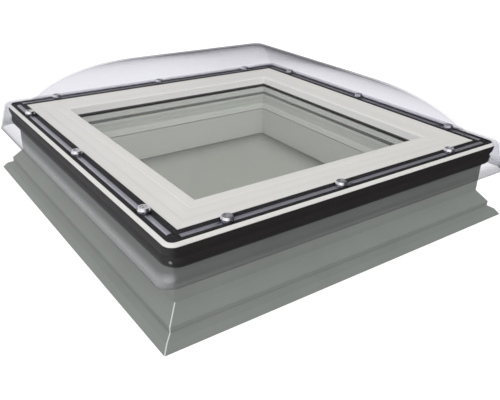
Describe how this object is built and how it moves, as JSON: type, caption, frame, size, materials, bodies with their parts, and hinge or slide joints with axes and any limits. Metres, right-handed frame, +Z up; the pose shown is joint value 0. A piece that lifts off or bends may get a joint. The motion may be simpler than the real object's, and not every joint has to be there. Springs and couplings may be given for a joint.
{
  "type": "roof skylight",
  "caption": "Square flat-roof skylight: an insulated kerb, a hinged double-glazed sash with a clear domed cover, and a telescopic opener behind the sash's front edge.",
  "frame": {"origin": "centre of the light opening, on the plane of the kerb's underside that sits on the roof", "axes": "+Z up out of the roof, +Y towards the hinged side, +X along the hinges to the right seen from the opener's side"},
  "size_m": [0.938, 0.938, 0.3456],
  "materials": {
    "kerb_pvc": "satin grey-green rigid plastic with welded, trimmed mitres",
    "foam": "fine closed-cell insulation foam",
    "seal_rubber": "matt black extruded rubber",
    "zinc_steel": "zinc-plated steel",
    "bright_steel": "bright turned steel",
    "sash_pvc": "white rigid plastic with welded, trimmed mitres",
    "pane_glass": "clear float glass with a slight green tint",
    "spacer_metal": "dull grey spacer with a row of fine holes",
    "sealant": "dark grey edge sealant",
    "bead_pvc": "white rigid plastic",
    "block_plastic": "blue hard plastic",
    "rail_aluminium": "satin silver with fine lengthwise drawing lines",
    "dome_acrylic": "clear polished acrylic",
    "cap_chrome": "bright polished metal",
    "drip_plastic": "black semi-matt plastic",
    "opener_plastic": "black moulded plastic",
    "opener_aluminium": "satin anodised tube"
  },
  "bodies": {
    "kerb": {"kerb_frame": "kerb_pvc", "kerb_insulation": "foam", "upstand_seal": "seal_rubber", "ledge_seal": "seal_rubber", "kerb_hinge_leaf": "zinc_steel", "kerb_leaf_screw": "zinc_steel", "hinge_pin": "bright_steel", "kerb_bracket": "zinc_steel", "kerb_bracket_screw": "zinc_steel", "trunnion_pin": "bright_steel"},
    "sash": {"sash_frame": "sash_pvc", "sash_reinforcement": "zinc_steel", "sash_hinge_leaf": "zinc_steel", "sash_leaf_screw": "zinc_steel", "outer_pane": "pane_glass", "inner_pane": "pane_glass", "glazing_spacer": "spacer_metal", "edge_sealant": "sealant", "outer_glazing_gasket": "seal_rubber", "inner_glazing_gasket": "seal_rubber", "glazing_bead": "bead_pvc", "setting_block": "block_plastic", "inner_dome_seal": "seal_rubber", "dome_rail": "rail_aluminium", "outer_dome_seal": "seal_rubber", "corner_sealant": "sealant", "dome_washer": "rail_aluminium", "dome": "dome_acrylic", "dome_cap": "cap_chrome", "dome_screw": "bright_steel", "drip_profile": "drip_plastic", "drip_corner_screw": "bright_steel", "sash_bracket": "zinc_steel", "sash_bracket_screw": "zinc_steel", "upper_pivot_pin": "bright_steel"},
    "opener_case": {"trunnion_collar": "opener_plastic", "opener_housing": "opener_aluminium", "opener_drive_unit": "opener_plastic", "cable_gland": "opener_plastic", "housing_bush": "opener_plastic"},
    "opener_stage": {"opener_tube": "opener_aluminium", "tube_bush": "opener_plastic"},
    "opener_rod": {"push_rod": "bright_steel", "rod_eye": "zinc_steel"}
  },
  "joints": [
    {"name": "sash_hinge", "type": "hinge", "parent": "kerb", "child": "sash", "pos_m": [0, 0.4295, 0.16], "axis": [-1, 0, 0], "range_deg": [0, 10.5]},
    {"name": "opener_tilt", "type": "hinge", "parent": "kerb", "child": "opener_case", "pos_m": [0, -0.286, 0.045], "axis": [-1, 0, 0], "range_deg": [0, 5.6]},
    {"name": "opener_slide", "type": "slide", "parent": "opener_case", "child": "opener_stage", "axis": [0, -0.1186, 0.9929], "range_m": [0, 0.067]},
    {"name": "rod_pivot", "type": "hinge", "parent": "sash", "child": "opener_rod", "pos_m": [0, -0.294, 0.112], "axis": [1, 0, 0], "range_deg": [0, 5.1]}
  ],
  "couplings": [
    {"joint": "opener_tilt", "follows": "sash_hinge", "ratio": 0.5242},
    {"joint": "opener_slide", "follows": "sash_hinge", "m_per_rad": 0.36107},
    {"joint": "rod_pivot", "follows": "sash_hinge", "ratio": 0.4758}
  ]
}
